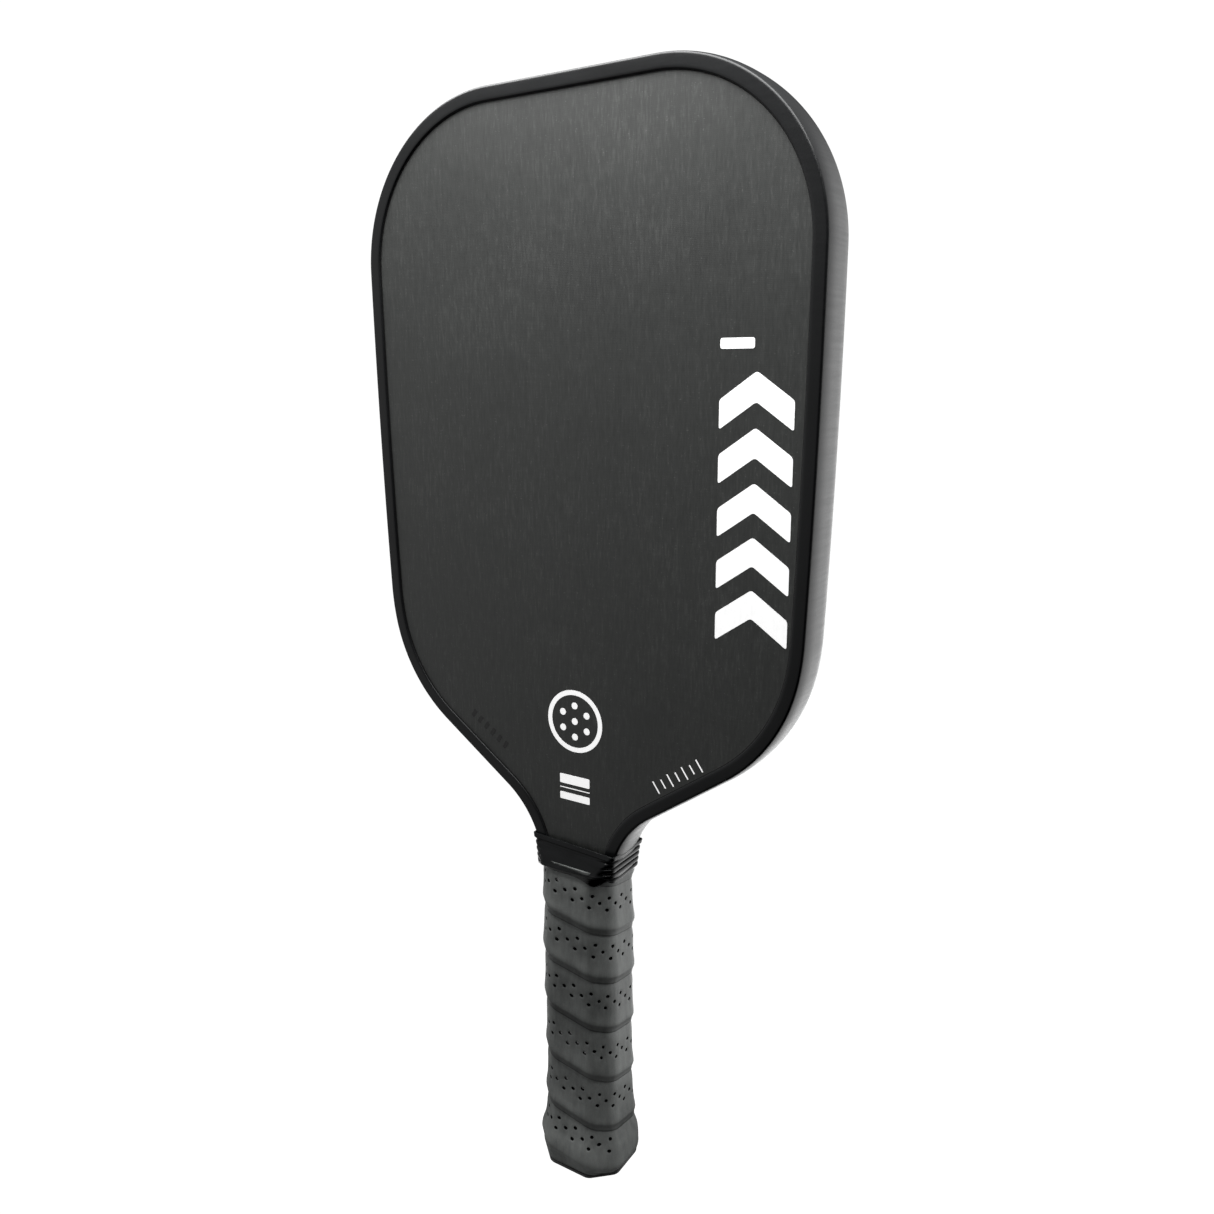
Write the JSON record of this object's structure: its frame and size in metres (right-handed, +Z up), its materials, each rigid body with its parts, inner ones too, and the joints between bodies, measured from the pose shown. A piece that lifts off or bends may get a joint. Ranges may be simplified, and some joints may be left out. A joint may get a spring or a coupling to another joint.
{
  "type": "pickleball paddle",
  "caption": "Pickleball paddle with a raw carbon face on a honeycomb core, a plastic edge guard, a rubber collar and a perforated wrapped octagonal grip.",
  "frame": {"origin": "centre of the butt cap's flat end face", "axes": "+Z runs up the handle to the top edge, X runs across the face, and the front face looks to -Y"},
  "size_m": [0.1868, 0.0344, 0.419],
  "materials": {
    "carbon_face": "raw carbon laminate with a peel-ply texture, matte",
    "carbon_ply": "cured carbon laminate",
    "bonding_film": "thermoplastic film on a thin veil",
    "polypropylene_honeycomb": "extruded polypropylene cells",
    "guard_plastic": "moulded elastomer, satin with a fine grain",
    "adhesive_tape": "double-sided tape",
    "pallet_foam": "moulded structural foam",
    "cap_plastic": "moulded plastic",
    "staple_steel": "plated wire",
    "grip_cushion": "perforated polyurethane skin on felt, matte",
    "finishing_tape": "thin vinyl tape",
    "collar_rubber": "moulded rubber, glossy"
  },
  "bodies": {
    "root": {"honeycomb_core": "polypropylene_honeycomb", "front_bonding_film": "bonding_film", "rear_bonding_film": "bonding_film", "front_inner_carbon_ply": "carbon_ply", "rear_inner_carbon_ply": "carbon_ply", "front_outer_carbon_ply": "carbon_face", "rear_outer_carbon_ply": "carbon_face", "front_pallet_tape": "adhesive_tape", "rear_pallet_tape": "adhesive_tape", "edge_guard_tape": "adhesive_tape", "edge_guard": "guard_plastic", "front_handle_pallet": "pallet_foam", "rear_handle_pallet": "pallet_foam", "butt_cap": "cap_plastic", "butt_cap_staples": "staple_steel", "grip_backing_tape": "adhesive_tape", "grip_start_staple": "staple_steel", "grip_wrap": "grip_cushion", "finishing_tape": "finishing_tape", "rubber_collar": "collar_rubber"}
  },
  "joints": []
}
